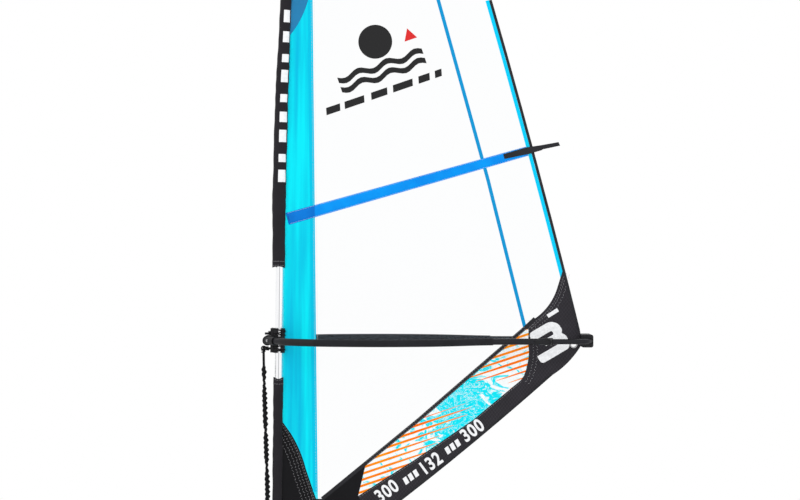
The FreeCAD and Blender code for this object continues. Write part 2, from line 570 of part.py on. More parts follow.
def make_uphaul():
    wire, radii = rounded_wire(UPHAUL_ROUTE)
    rope = swept(wire, UPHAUL_R)
    print("uphaul bend radii", radii, "length", round(wire.Length, 1))
    print("uphaul volume", round(rope.Volume), "section x length",
          round(math.pi * UPHAUL_R ** 2 * wire.Length))
    nodes["uphaul_line"] = rope
    ring = Part.makeTorus(8, 2.2, V(-35.1, 0, 289.2), V(0.65, 0, 0.76))
    nodes["uphaul_hook"] = ring.fuse(rod(2.2, (-43, 0, 292), (-43, 0, 296)))


def main():
    make_mast()
    make_extension()
    make_collar()
    make_base()
    make_panels()
    make_tapes()
    make_battens()
    make_sleeves()
    make_boom_head()
    make_front_bracket()
    make_arms()
    make_tail()
    make_uphaul()
    os.makedirs("parts", exist_ok=True)
    for name, shape in nodes.items():
        shape.exportStep("parts/" + name + ".step")
        state = "ok" if shape.isValid() and shape.Solids else "BROKEN"
        print(name, len(shape.Solids), round(shape.Volume), state)


main()
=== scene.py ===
"""Looks of the windsurf rig, in metres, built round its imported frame."""

import json
import math

import bmesh
import bpy
import numpy as np
from mathutils import Matrix, Vector


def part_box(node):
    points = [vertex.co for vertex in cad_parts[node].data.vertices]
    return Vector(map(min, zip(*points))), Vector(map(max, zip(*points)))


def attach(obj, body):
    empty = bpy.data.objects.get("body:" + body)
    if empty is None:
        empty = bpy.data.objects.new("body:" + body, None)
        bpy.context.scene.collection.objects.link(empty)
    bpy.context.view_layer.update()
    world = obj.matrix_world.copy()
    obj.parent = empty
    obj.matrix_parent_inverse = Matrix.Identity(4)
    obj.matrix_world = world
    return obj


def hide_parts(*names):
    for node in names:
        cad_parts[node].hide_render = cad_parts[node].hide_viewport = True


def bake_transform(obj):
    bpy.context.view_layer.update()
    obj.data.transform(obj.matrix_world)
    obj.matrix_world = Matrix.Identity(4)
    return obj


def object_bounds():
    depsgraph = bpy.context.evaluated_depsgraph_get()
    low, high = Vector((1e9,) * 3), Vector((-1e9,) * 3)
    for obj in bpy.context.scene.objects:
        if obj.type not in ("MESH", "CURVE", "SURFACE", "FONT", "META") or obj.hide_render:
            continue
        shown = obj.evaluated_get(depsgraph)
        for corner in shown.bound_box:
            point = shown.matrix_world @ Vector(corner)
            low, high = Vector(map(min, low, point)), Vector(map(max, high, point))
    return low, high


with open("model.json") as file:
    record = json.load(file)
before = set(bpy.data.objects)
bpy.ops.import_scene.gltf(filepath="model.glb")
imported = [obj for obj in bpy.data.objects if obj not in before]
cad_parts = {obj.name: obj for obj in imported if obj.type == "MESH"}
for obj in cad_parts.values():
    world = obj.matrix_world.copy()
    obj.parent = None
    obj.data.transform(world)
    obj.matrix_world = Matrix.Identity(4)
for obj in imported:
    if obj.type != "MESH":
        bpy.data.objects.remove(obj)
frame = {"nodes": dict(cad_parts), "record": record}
cad_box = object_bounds()
nodes = frame["nodes"]

# ---- view --------------------------------------------------------------------------------
VIEW_X, VIEW_Z = 0.509, 1.730        # the point of the sail's plane in the middle of the view
VIEW_WIDTH = 3.395                   # what the view takes in at the sail's plane
CAMERA_DISTANCE = 5.6
CAMERA_ROLL = math.radians(-0.637)   # the mast leans a little towards the sail

# ---- the free line -----------------------------------------------------------------------
UPHAUL_ROUTE = [(-0.065, 0, 1.293), (-0.063, 0, 1.205), (-0.053, 0, 0.960), (-0.041, 0, 0.690),
                (-0.040, 0, 0.520), (-0.043, 0, 0.390), (-0.043, 0, 0.296)]

# ---- sail --------------------------------------------------------------------------------
CELL = 0.02                          # mesh size of the cloth
CLOTH = 0.0004                       # thickness of a panel
SEWN = 0.0005                        # how far a tape or patch stands off the panel's middle
TAPE = 0.0004                        # thickness of a tape, patch or pocket
FOLDED_TAPE = 0.0019
TAPE_FIBRE = 0.0021                  # grid of fibres in a tape
SLEEVE_CLOTH = 0.0011
THREAD = 0.0009
STITCH = 0.0078
LASHING_R = 0.0024
BISECT_REACH = 1e-6

# ---- figures and bars --------------------------------------------------------------------
INK = 0.0003                         # thickness
INK_LIFT = 0.0009                    # how far ink stands off the sail's middle
INK_CELL = 0.03
FIGURE_HEIGHT, FIGURE_WEIGHT = 0.056, 0.0022
FOOT_TILT = math.radians(37)         # lean of the foot figures and bars
FOOT_ROW = 0.646                     # radians; the line that their centres follow

# ---- rows of stitches: the panels that meet there, how far beside, lift, zigzag -----------
DARK_SEAMS = (("tack_patch", "luff_panel", (0.007, 0.013), 0.0003, 0.0),
              ("tack_patch", "luff_panel", (0.026, 0.040, 0.056), 0.0003, 0.8),
              ("clew_patch", "leech_panel", (-0.012, -0.020), 0.0003, 0.0),
              ("clew_patch", "leech_panel", (-0.034,), 0.0003, 0.8),
              ("clew_patch", "graphic_panel", (-0.020, -0.036), 0.0003, 0.8),
              ("foot_band", "graphic_panel", (-0.006,), 0.0003, 0.0),
              ("graphic_panel", "window_panel", (-0.005, 0.005), 0.0011, 0.0))

# ---- printed panel -----------------------------------------------------------------------
BAR_TURN = math.radians(19)          # the bars climb towards the clew
BAR_PERIOD = 0.0243
BAR_SPLIT = 0.765                    # bars below this run from the tack, above it from the clew
FRONT_BARS = (0.66, 0.725, 0.94, 1.12, 1)       # heights across the bars, and where they end there
AFT_BARS = (0.80, 0.86, 1.30, 1.10, -1)
MARBLE_MIDDLE = 1.09

LUFF_SEAM_LEAN = 0.0216              # the luff seam leans this much towards the mast going up
LUFF_SEAM_X = 0.1864


def make_camera():
    data = bpy.data.cameras.new("camera")
    data.sensor_width = 36
    data.lens = data.sensor_width * CAMERA_DISTANCE / VIEW_WIDTH
    data.clip_end = 100
    camera = bpy.data.objects.new("camera", data)
    camera.location = (VIEW_X, -CAMERA_DISTANCE, VIEW_Z)
    turn = Matrix.Rotation(CAMERA_ROLL, 3, "Y") @ Matrix.Rotation(math.pi / 2, 3, "X")
    camera.rotation_euler = turn.to_euler()
    bpy.context.scene.collection.objects.link(camera)
    bpy.context.scene.camera = camera


# ---- materials ---------------------------------------------------------------------------
class Surface:
    """A Principled material and the textures wired to it, in object coordinates."""

    def __init__(self, name, colour, roughness, **sockets):
        self.material = bpy.data.materials.new(name)
        self.material.use_nodes = True
        self.tree = self.material.node_tree
        self.shader = self.tree.nodes["Principled BSDF"]
        self.set("Base Color", (*colour, 1))
        self.set("Roughness", roughness)
        self.set("Specular IOR Level", 0.22)
        for socket, value in sockets.items():
            self.set(socket.replace("_", " "), value)
        self.place = self.tree.nodes.new("ShaderNodeTexCoord").outputs["Object"]
        self.heights = []

    def set(self, socket, value):
        self.shader.inputs[socket].default_value = value

    def link(self, source, target):
        self.tree.links.new(source, target)

    def node(self, kind, inputs=(), **settings):
        made = self.tree.nodes.new("ShaderNode" + kind)
        for key, value in settings.items():
            setattr(made, key, value)
        for key, value in dict(inputs).items():
            if hasattr(value, "is_output"):
                self.link(value, made.inputs[key])
            else:
                made.inputs[key].default_value = value
        return made

    def stretched(self, scale, turn=(0, 0, 0)):
        return self.node("Mapping", {"Vector": self.place, "Scale": scale, "Rotation": turn}).outputs[0]

    def noise(self, scale, stretch=(1, 1, 1), detail=3.0):
        where = self.stretched(stretch)
        made = self.node("TexNoise", {"Vector": where, "Scale": scale, "Detail": detail})
        return made.outputs["Fac"]

    def waves(self, period, axis, distortion=0.0, turn=(0, 0, 0)):
        """Even ridges, period apart, across one axis."""
        where = self.stretched((1, 1, 1), turn)
        inputs = {"Vector": where, "Scale": math.pi / 10 / period, "Distortion": distortion}
        return self.node("TexWave", inputs, bands_direction=axis).outputs["Fac"]

    def weave(self, period, distortion=0.0):
        """Two sets of ridges that cross, as the threads of a cloth do."""
        return self.math("MAXIMUM", self.waves(period, "X", distortion), self.waves(period, "Z", distortion))

    def cells(self, scale):
        where = self.stretched((1, 1, 1))
        return self.node("TexVoronoi", {"Vector": where, "Scale": scale}).outputs["Distance"]

    def math(self, operation, first, second=0.5):
        return self.node("Math", {0: first, 1: second}, operation=operation).outputs[0]

    def ramp(self, factor, stops):
        made = self.node("ValToRGB", {"Fac": factor})
        elements = made.color_ramp.elements
        while len(elements) < len(stops):
            elements.new(0.5)
        for element, (position, colour) in zip(elements, stops):
            element.position = position
            element.color = (*colour, 1)
        return made.outputs["Color"]

    def mix(self, factor, first, second):
        made = self.node("Mix", data_type="RGBA")
        for key, value in ((0, factor), (6, first), (7, second)):
            if hasattr(value, "is_output"):
                self.link(value, made.inputs[key])
            else:
                made.inputs[key].default_value = value if key == 0 else (*value, 1)
        return made.outputs[2]

    def colour(self, source):
        self.link(source, self.shader.inputs["Base Color"])
        return self

    def vary_roughness(self, factor, low, high):
        made = self.node("MapRange", {"Value": factor, "To Min": low, "To Max": high})
        self.link(made.outputs[0], self.shader.inputs["Roughness"])
        return self

    def bump(self, height, distance, strength):
        """Adds a layer of relief, in metres, over the ones before."""
        made = self.node("Bump", {"Height": height, "Distance": distance, "Strength": strength})
        if self.heights:
            self.link(self.heights[-1], made.inputs["Normal"])
        self.heights.append(made.outputs[0])
        self.link(made.outputs[0], self.shader.inputs["Normal"])
        return self


def tinted(colour, factor):
    return tuple(min(1.0, c * factor) for c in colour)


def metal(name, colour, roughness, streak=(60, 60, 1)):
    made = Surface(name, colour, roughness, Metallic=1.0)
    lines = made.noise(14, streak, 4)
    made.colour(made.ramp(lines, [(0.3, tinted(colour, 0.88)), (0.7, tinted(colour, 1.06))]))
    made.vary_roughness(made.noise(9, (1, 1, 1), 5), roughness * 0.7, roughness * 1.5)
    made.bump(lines, 0.0002, 0.25)
    return made


def bare_mast():
    """Polished tube with a painted reflection, a dark grey line down the side."""
    made = metal("bare_aluminium", (0.93, 0.935, 0.945), 0.24)
    split = made.node("SeparateXYZ", {0: made.place})
    # painted reflection: a dark grey stripe wherever X is near 0.001, not a mark in the metal
    off = made.math("ABSOLUTE", made.math("SUBTRACT", split.outputs["X"], 0.001))
    line = made.node("MapRange", {"Value": off, "From Min": 0.0008, "From Max": 0.0026}, clamp=True)
    grain = made.noise(14, (60, 60, 1), 4)
    base = made.ramp(grain, [(0.3, (0.86, 0.865, 0.88)), (0.7, (0.97, 0.975, 0.985))])
    made.colour(made.mix(line.outputs[0], (0.50, 0.50, 0.52), base))
    return made.material


def moulded(name, colour, roughness, grain=900):
    made = Surface(name, colour, roughness)
    wear = made.noise(38, (1, 1, 1), 6)
    made.colour(made.ramp(wear, [(0.35, tinted(colour, 0.85)), (0.62, colour), (0.80, tinted(colour, 1.7))]))
    made.vary_roughness(wear, roughness * 0.85, roughness * 1.2)
    made.bump(made.cells(grain), 0.0003, 0.35)
    return made.material


def rubbery(name, colour, rib=0.0):
    made = Surface(name, colour, 0.72)
    dust = made.noise(26, (1, 1, 1), 6)
    made.colour(made.ramp(dust, [(0.35, colour), (0.75, tinted(colour, 1.8))]))
    made.vary_roughness(dust, 0.62, 0.85)
    if rib:
        made.bump(made.waves(rib, "X"), 0.0012, 0.7)
    made.bump(made.noise(1400, (1, 1, 1), 2), 0.0003, 0.4)
    return made.material


def woven(name, colour, roughness, thread=0.0011, *, sheen, fold=0.0):
    """Plain weave with uneven dye, worn threads and a light sheen."""
    made = Surface(name, colour, roughness, Sheen_Weight=sheen, Sheen_Roughness=0.45)
    made.set("Specular IOR Level", 0.12)
    grid = made.weave(thread, 0.3)
    dye = made.noise(7, (1, 1, 1), 6)
    base = made.ramp(dye, [(0.3, tinted(colour, 0.82)), (0.7, tinted(colour, 1.22))])
    made.colour(made.mix(made.math("MULTIPLY", grid, 0.22), base, tinted(colour, 0.45)))
    made.vary_roughness(dye, roughness * 0.9, roughness * 1.1)
    if fold:
        made.bump(made.noise(11, (1, 1, 0.35), 4), fold, 0.5)
    made.bump(grid, 0.00025, 0.55)
    return made


def cyan_cloth():
    """Coated cloth with upright tonal bands and a fine weave."""
    colour = (0.0, 0.62, 0.80)
    made = woven("cyan_cloth", colour, 0.5, sheen=0.0, fold=0.003)
    made.set("Specular IOR Level", 0.08)
    bands = made.noise(9, (3.2, 1, 0.14), 2)
    tone = made.ramp(bands, [(0.34, (0.0, 0.54, 0.80)), (0.5, (0.0, 0.70, 0.88)), (0.64, (0.0, 0.85, 0.98))])
    threads = made.waves(0.0012, "X", 0.3)
    made.colour(made.mix(made.math("MULTIPLY", threads, 0.06), tone, (0.0, 0.30, 0.50)))
    return made.material


def film(name, colour, alpha, roughness=0.12):
    """Clear or tinted film, with faint creases and scuffs."""
    made = Surface(name, colour, roughness, Alpha=alpha)
    made.set("Specular IOR Level", 0.45)
    cloud = made.noise(5, (1, 1, 1), 5)
    made.colour(made.ramp(cloud, [(0.35, tinted(colour, 0.93)), (0.7, tinted(colour, 1.04))]))
    made.vary_roughness(made.noise(30, (1, 1, 3), 6), roughness * 0.6, roughness * 2)
    made.bump(made.noise(16, (1.4, 1, 0.5), 3), 0.0016, 0.35)
    return made.material


def tape(name, colour, alpha):
    """Translucent sticky-back tape with a fibre grid."""
    made = Surface(name, colour, 0.34, Alpha=alpha)
    made.set("Specular IOR Level", 0.08)
    grid = made.weave(TAPE_FIBRE, 0.2)
    made.colour(made.mix(made.math("MULTIPLY", grid, 0.18), colour, tinted(colour, 0.6)))
    made.vary_roughness(made.noise(22, (1, 1, 1), 5), 0.26, 0.46)
    made.bump(grid, 0.0002, 0.5)
    return made.material


def pocket_cloth():
    """Blue pocket tape, painted lighter over the clear window, where light from behind shines through it, and
    darker where it lies over the luff cloth.
    """
    made = Surface("blue_tape", (0.0, 0.30, 0.90), 0.4)
    made.set("Specular IOR Level", 0.08)
    split = made.node("SeparateXYZ", {0: made.place})
    seam = made.math("ADD", split.outputs["X"], made.math("MULTIPLY", split.outputs["Z"], LUFF_SEAM_LEAN))
    painted_backlight = made.math("GREATER_THAN", seam, LUFF_SEAM_X)
    cloud = made.noise(12, (1, 1, 1), 4)
    # light is the tape with painted light shining through it from behind; dark is the same tape over the
    # opaque cloth
    light = made.ramp(cloud, [(0.35, (0.0, 0.26, 0.86)), (0.65, (0.0, 0.34, 0.97))])
    dark = made.ramp(cloud, [(0.35, (0.001, 0.15, 0.60)), (0.65, (0.002, 0.20, 0.72))])
    grid = made.weave(TAPE_FIBRE, 0.2)
    base = made.mix(painted_backlight, dark, light)
    made.colour(made.mix(made.math("MULTIPLY", grid, 0.12), base, (0.0, 0.16, 0.55)))
    made.vary_roughness(cloud, 0.32, 0.5)
    made.bump(grid, 0.0002, 0.5)
    return made.material


def laminate():
    """Charcoal X-ply: dark cloth with a diagonal grid of paler yarns."""
    colour = (0.022, 0.020, 0.025)
    made = woven("charcoal_laminate", colour, 0.5, sheen=0.12, fold=0.002)
    yarns = []
    for turn in (math.radians(38), math.radians(-38)):
        ridge = made.waves(0.011, "X", 0.15, (0, turn, 0))
        yarns.append(made.node("MapRange", {"Value": ridge, "From Min": 0.93}, clamp=True).outputs[0])
    scrim = made.math("MAXIMUM", yarns[0], yarns[1])
    dye = made.noise(9, (1, 1, 1), 6)
    base = made.ramp(dye, [(0.3, tinted(colour, 0.85)), (0.7, tinted(colour, 1.25))])
    made.colour(made.mix(made.math("MULTIPLY", scrim, 0.35), base, (0.07, 0.068, 0.08)))
    made.bump(scrim, 0.0003, 0.5)
    return made.material


def printed_graphic():
    """White cloth with marbled cyan, thickest in the middle, and tapering orange bars at both ends."""
    made = woven("printed_cloth", (0.90, 0.96, 0.97), 0.5, sheen=0.0, fold=0.002)
    made.set("Specular IOR Level", 0.08)
    along = made.node("SeparateXYZ", {0: made.stretched((1, 1, 1), (0, BAR_TURN, 0))})
    u, v = along.outputs["X"], along.outputs["Z"]
    coverage = made.node("MapRange", {"Value": made.math("ABSOLUTE", made.math("SUBTRACT", u, MARBLE_MIDDLE)),
                                      "From Min": 0.03, "From Max": 0.25, "To Min": 0.17, "To Max": -0.05},
                         clamp=True).outputs[0]
    swirl = made.node("TexNoise", {"Vector": made.stretched((1, 1, 1.7), (0, -0.5, 0)), "Scale": 8.0,
                                   "Detail": 7.0, "Roughness": 0.62, "Distortion": 3.2}).outputs["Fac"]
    marble = made.math("ADD", swirl, coverage)
    ink = made.ramp(marble, [(0.50, (0.95, 0.98, 0.99)), (0.53, (0.40, 0.90, 0.96)),
                             (0.555, (0.0, 0.80, 0.93)), (0.66, (0.0, 0.80, 0.93)),
                             (0.675, (0.80, 0.97, 0.99)), (0.70, (0.0, 0.78, 0.92))])
    dots = made.math("LESS_THAN", made.cells(210), 0.28)
    where = made.math("MULTIPLY", dots, made.math("GREATER_THAN", made.noise(12), 0.56))
    ink = made.mix(made.math("MULTIPLY", where, 0.8), ink, (0.93, 0.98, 0.99))
    lines = made.waves(BAR_PERIOD, "Z", 0.0, (0, BAR_TURN, 0))
    bars = []
    for low, high, end_low, end_high, way in FRONT_BARS, AFT_BARS:
        end = made.node("MapRange", {"Value": v, "From Min": low, "From Max": high, "To Min": end_low,
                                     "To Max": end_high}, clamp=True).outputs[0]
        room = made.math("MULTIPLY", made.math("SUBTRACT", end, u), way / 0.22)
        room = made.math("MINIMUM", made.math("MAXIMUM", room, 0.0), 1.0)
        level = made.math("SUBTRACT", 1.0, made.math("MULTIPLY", room, 0.36))
        bars.append(made.math("GREATER_THAN", lines, level))
    front = made.math("MULTIPLY", bars[0], made.math("LESS_THAN", v, BAR_SPLIT))
    aft = made.math("MULTIPLY", bars[1], made.math("GREATER_THAN", v, BAR_SPLIT))
    orange = made.ramp(made.noise(6), [(0.35, (1.0, 0.17, 0.0)), (0.6, (1.0, 0.32, 0.0))])
    made.colour(made.mix(made.math("MAXIMUM", front, aft), ink, orange))
    return made.material


def braided(name, colour, period=0.0045):
    made = Surface(name, colour, 0.8, Sheen_Weight=0.05)
    made.set("Specular IOR Level", 0.1)
    first = made.waves(period, "Z", 0.6, (0, 0.7, 0))
    second = made.waves(period, "Z", 0.6, (0, -0.7, 0))
    braid = made.math("MAXIMUM", first, second)
    made.colour(made.mix(braid, tinted(colour, 0.4), tinted(colour, 1.6)))
    made.vary_roughness(made.noise(60), 0.7, 0.95)
    made.bump(braid, 0.0009, 0.7)
    return made.material


def ribbed_webbing(name, colour):
    made = woven(name, colour, 0.7, 0.0016, sheen=0.3)
    made.bump(made.waves(0.0032, "X"), 0.0004, 0.5)
    return made.material


def plain_ink(name, colour, roughness=0.45):
    made = Surface(name, colour, roughness)
    wear = made.noise(70, (1, 1, 1), 6)
    made.colour(made.ramp(wear, [(0.3, tinted(colour, 0.9)), (0.65, tinted(colour, 1.03))]))
    made.vary_roughness(wear, roughness * 0.8, roughness * 1.3)
    made.bump(made.weave(0.0011), 0.0001, 0.4)
    return made.material


def make_materials():
    return {
        "bare_aluminium": bare_mast(),
        "extension_metal": metal("extension_metal", (0.55, 0.57, 0.60), 0.34).material,
        "stainless": metal("stainless", (0.42, 0.42, 0.43), 0.30, (9, 9, 9)).material,
        "arm_metal": metal("arm_metal", (0.030, 0.030, 0.034), 0.36, (1, 50, 50)).material,
        "black_plastic": moulded("black_plastic", (0.011, 0.011, 0.013), 0.46),
        "grey_plastic": moulded("grey_plastic", (0.045, 0.045, 0.05), 0.42),
        "black_rubber": rubbery("black_rubber", (0.012, 0.012, 0.013)),
        "grip_foam": rubbery("grip_foam", (0.0095, 0.0095, 0.012), 0.006),
        "black_fabric": woven("black_fabric", (0.019, 0.017, 0.021), 0.72, sheen=0.06, fold=0.003).material,
        "charcoal_fabric": laminate(),
        "cyan_fabric": cyan_cloth(),
        "graphic_fabric": printed_graphic(),
        "clear_film": film("clear_film", (0.50, 0.64, 0.74), 0.02),
        "head_film": film("head_film", (0.0, 0.25, 0.55), 0.72, 0.3),
        "blue_tape": pocket_cloth(),
        "seam_blue": tape("seam_blue", (0.005, 0.33, 0.70), 0.97),
        "luff_tape": tape("luff_tape", (0.0, 0.60, 0.86), 0.97),
        "leech_cyan": tape("leech_cyan", (0.0, 0.66, 1.0), 0.97),
        "dark_cloth": woven("dark_cloth", (0.0062, 0.006, 0.0075), 0.62, sheen=0.05, fold=0.002).material,
        "batten_rod": moulded("batten_rod", (0.01, 0.05, 0.12), 0.4),
        "black_rope": braided("black_rope", (0.006, 0.006, 0.007)),
        "webbing": ribbed_webbing("webbing", (0.022, 0.022, 0.026)),
        "white_ink": plain_ink("white_ink", (0.93, 0.94, 0.96)),
        "black_ink": plain_ink("black_ink", (0.012, 0.012, 0.013)),
        "red_ink": plain_ink("red_ink", (0.72, 0.02, 0.02)),
        "white_thread": plain_ink("white_thread", (0.75, 0.76, 0.78), 0.7),
        "grey_thread": plain_ink("grey_thread", (0.42, 0.42, 0.44), 0.7),
    }


# ---- mesh helpers ------------------------------------------------------------------------
def new_object(name, vertices, faces, material, body=None):
    """A mesh piece that rides on a body, if one is given."""
    mesh = bpy.data.meshes.new(name)
    mesh.from_pydata([tuple(v) for v in vertices], [], [tuple(f) for f in faces])
    mesh.update()
    made = bpy.data.objects.new(name, mesh)
    bpy.context.scene.collection.objects.link(made)
    made.data.materials.append(materials[material])
    if body:
        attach(made, body)
    return made


def apply_modifiers(made):
    bpy.context.view_layer.update()
    shown = made.evaluated_get(bpy.context.evaluated_depsgraph_get())
    mesh = bpy.data.meshes.new_from_object(shown)
    made.modifiers.clear()
    old = made.data
    made.data = mesh
    bpy.data.meshes.remove(old)


def thicken(made, thickness, offset=0.0):
    """Gives a flat mesh its thickness; an offset of -1 puts all of it on the inner side."""
    thick = made.modifiers.new("thickness", "SOLIDIFY")
    thick.thickness = thickness
    thick.offset = offset
    apply_modifiers(made)


def smooth(made, angle=40):
    made.data.polygons.foreach_set("use_smooth", [True] * len(made.data.polygons))
    made.data.set_sharp_from_angle(angle=math.radians(angle))


def ring_faces(rings, sides):
    """Faces between neighbouring closed rings of points."""
    corners = ((i * sides, j, (j + 1) % sides) for i in range(rings - 1) for j in range(sides))
    return [(i + j, i + k, i + sides + k, i + sides + j) for i, j, k in corners]


def grid_faces(rows, columns, base=0):
    """Faces between neighbouring open rows of points."""
    corners = (base + i * columns + j for i in range(rows - 1) for j in range(columns - 1))
    return [(k, k + 1, k + 1 + columns, k + columns) for k in corners]


def closed_tube(rings):
    """Vertices and faces of a closed tube through rings of equal size."""
    count = len(rings[0])
    vertices = [point for ring in rings for point in ring]
    faces = ring_faces(len(rings), count)
    faces.append(tuple(reversed(range(count))))
    faces.append(tuple(range((len(rings) - 1) * count, len(rings) * count)))
    return vertices, faces


def follow(points, radius, sides, up=(0, 1, 0)):
    """Rings round a path; radius is a function of (distance along it, angle)."""
    path = [Vector(p) for p in points]
    up = Vector(up)
    rings = []
    gone = 0.0
    for i, here in enumerate(path):
        way = (path[min(i + 1, len(path) - 1)] - path[max(i - 1, 0)]).normalized()
        side = way.cross(up).normalized()
        top = side.cross(way).normalized()
        gone += (here - path[i - 1]).length if i else 0.0
        ring = []
        for j in range(sides):
            angle = 2 * math.pi * j / sides
            reach = radius(gone, angle)
            ring.append(here + side * (reach * math.cos(angle)) + top * (reach * math.sin(angle)))
        rings.append(ring)
    return rings


def curve_mesh(data):
    """The mesh that a curve or a text makes."""
    holder = bpy.data.objects.new(data.name + "_outline", data)
    bpy.context.scene.collection.objects.link(holder)
    bpy.context.view_layer.update()
    mesh = bpy.data.meshes.new_from_object(holder)
    bpy.data.objects.remove(holder)
    return mesh


def spline_points(route, resolution):
    """Points read from the NURBS curve that has the route's points as its control points."""
    data = bpy.data.curves.new("route", "CURVE")
    data.dimensions = "3D"
    data.resolution_u = resolution
    spline = data.splines.new("NURBS")
    spline.points.add(len(route) - 1)
    for point, place in zip(spline.points, route):
        point.co = (*place, 1)
    spline.order_u = 3
    spline.use_endpoint_u = True
    mesh = curve_mesh(data)
    points = [v.co.copy() for v in mesh.vertices]
    bpy.data.meshes.remove(mesh)
    return points


# ---- the sail's surface ------------------------------------------------------------------
def ring_centres():
    """Centres of the clew and tack rings, from their CAD solids."""
    points = np.array([v.co for v in nodes["sail_rings"].data.vertices])
    aft = points[:, 0] > points[:, 0].mean()
    return [(points[part].max(0) + points[part].min(0)) / 2 for part in (aft, ~aft)]


def relief(x, z):
    """How far the cloth stands off its plane: shallow waves that die out at mast and rings."""
    x, z = np.asarray(x, float), np.asarray(z, float)
    fade = np.clip((x - 0.035) / 0.16, 0, 1)
    for centre in clew_and_tack:
        away = np.hypot(x - centre[0], z - centre[2])
        fade = fade * np.clip((away - 0.03) / 0.12, 0, 1)
    fade = fade * fade * (3 - 2 * fade)
    broad = 2.6 * np.sin(5.1 * x + 2.3 * z + 0.6) + 1.7 * np.sin(3.1 * z - 6.4 * x + 1.9)
    creases = 0.55 * np.sin(38 * x + 9 * z + 2.2 * np.sin(3 * z)) * np.exp(-((x - 0.25) / 0.22) ** 2)
    foot = 0.6 * np.sin(26 * (x - 0.8 * z)) * np.exp(-((z - 0.75 * x - 0.45) / 0.20) ** 2)
    return 0.001 * fade * (broad + creases + foot)


def broad_face(node, side):
    """The CAD node's outermost face that looks along side * Y, as a flat bmesh."""
    mesh = nodes[node].data
    normals = np.array([p.normal.y for p in mesh.polygons]) * side
    depth = np.array([p.center.y for p in mesh.polygons]) * side
    level = depth[normals > 0.9].max()
    chosen = np.flatnonzero((normals > 0.9) & (depth > level - 0.00005))
    flat = bmesh.new()
    corners = {}
    for index in chosen:
        face = []
        for v in mesh.polygons[int(index)].vertices:
            co = mesh.vertices[v].co
            key = (round(co.x, 5), round(co.z, 5))
            if key not in corners:
                corners[key] = flat.verts.new((key[0], 0, key[1]))
            if corners[key] not in face:
                face.append(corners[key])
        if len(face) > 2 and not flat.faces.get(face):
            flat.faces.new(face)
    bmesh.ops.dissolve_limit(flat, angle_limit=0.01, verts=flat.verts, edges=flat.edges)
    return flat


def cut_cells(flat, cell):
    """Cuts a flat face along a grid, so that it can take the sail's relief."""
    xs = [v.co.x for v in flat.verts]
    zs = [v.co.z for v in flat.verts]
    for axis, low, high in ((0, min(xs), max(xs)), (2, min(zs), max(zs))):
        count = int((high - low) / cell)
        for i in range(1, count + 1):
            place = [0.0, 0.0, 0.0]
            place[axis] = low + (high - low) * i / (count + 1)
            normal = [0.0, 0.0, 0.0]
            normal[axis] = 1.0
            parts = flat.verts[:] + flat.edges[:] + flat.faces[:]
            bmesh.ops.bisect_plane(flat, geom=parts, plane_co=place, plane_no=normal, dist=BISECT_REACH)


def sheet_on_sail(name, flat, material, offsets, thickness, cell=CELL):
    """Turns a flat face into cloth that lies on the sail's surface, once for each offset."""
    cut_cells(flat, cell)
    bmesh.ops.triangulate(flat, faces=[f for f in flat.faces if len(f.verts) > 4])
    flat.verts.index_update()
    x = np.array([v.co.x for v in flat.verts])
    z = np.array([v.co.z for v in flat.verts])
    faces = [[v.index for v in f.verts] for f in flat.faces]
    flat.free()
    lift = relief(x, z)
    vertices, all_faces = [], []
    for offset in offsets:
        base = len(vertices)
        vertices.extend(zip(x, lift + offset, z))
        all_faces.extend([[base + i for i in face] for face in faces])
    made = new_object(name, vertices, all_faces, material)
    thicken(made, thickness)
    smooth(made)
    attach(made, "rig")
    return made


def smallest_rectangle(points):
    """Sides of the smallest rectangle round the points, the shorter one first."""
    best = None
    for angle in np.radians(np.arange(0, 90, 1)):
        turned = points @ np.array([[np.cos(angle), -np.sin(angle)], [np.sin(angle), np.cos(angle)]])
        size = np.ptp(turned, axis=0)
        if best is None or size.prod() < best.prod():
            best = size
    return sorted(float(s) for s in best)


def declare_cloth(flat_points):
    smallest_rectangle(flat_points)


def panel(name, node, material, forward=0.0):
    """A sail panel, cut as its CAD node is, with its front edge brought forward if asked."""
    flat = broad_face(node, 1)
    lead = min(v.co.x for v in flat.verts)
    for v in flat.verts:
        if v.co.x < lead + 0.03:
            v.co.x -= forward
    area = sum(f.calc_area() for f in flat.faces)
    points = np.array([(v.co.x, v.co.z) for v in flat.verts])
    made = sheet_on_sail(name, flat, material, [0.0], CLOTH)
    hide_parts(node)
    declare_cloth(points)


def picked_face(node, part):
    """A node's broad face, or only the pieces of it that part picks by their X and Z."""
    flat = broad_face(node, 1)
    if part:
        gone = [f for f in flat.faces if not part(f.calc_center_median())]
        bmesh.ops.delete(flat, geom=gone, context="FACES")
    return flat


def overlay(name, node, material, part=None, lift=SEWN):
    """A tape or patch on both faces of the sail."""
    made = sheet_on_sail(name, picked_face(node, part), material, [lift, -lift], TAPE)
    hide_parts(node)


def folded(name, node, part=None):
    """A tape folded round an edge, or sewn over a seam, thick enough to hold the cloth."""
    made = sheet_on_sail(name, picked_face(node, part), "webbing", [0.0], FOLDED_TAPE)
    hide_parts(node)


# ---- stitching ---------------------------------------------------------------------------
def spaced(points, step):
    """Points evenly spaced along a line in the XZ plane."""
    points = np.array(points, float)
    gone = np.concatenate([[0], np.cumsum(np.hypot(*np.diff(points, axis=0).T))])
    stops = np.arange(step / 2, gone[-1], step)
    return np.column_stack([np.interp(stops, gone, points[:, k]) for k in (0, 1)])


def row_marks(row, lift, zigzag=0.0, step=0.0125, sides=(1, -1)):
    """Stitches along a line on the sail; zigzag leans them by turns."""
    centres = spaced(row, step)
    if len(centres) < 3:
        return []
    ways = np.gradient(centres, axis=0)
    ways = ways / np.hypot(*ways.T)[:, None]
    marks = []
    for k, (centre, way) in enumerate(zip(centres, ways)):
        lean = zigzag * (1 if k % 2 else -1)
        along = Vector((way[0] - lean * way[1], 0, way[1] + lean * way[0])).normalized()
        height = float(relief(centre[0], centre[1]))
        for side in sides:
            marks.append((Vector((centre[0], height + side * lift, centre[1])), along, Vector((0, side, 0))))
    return marks


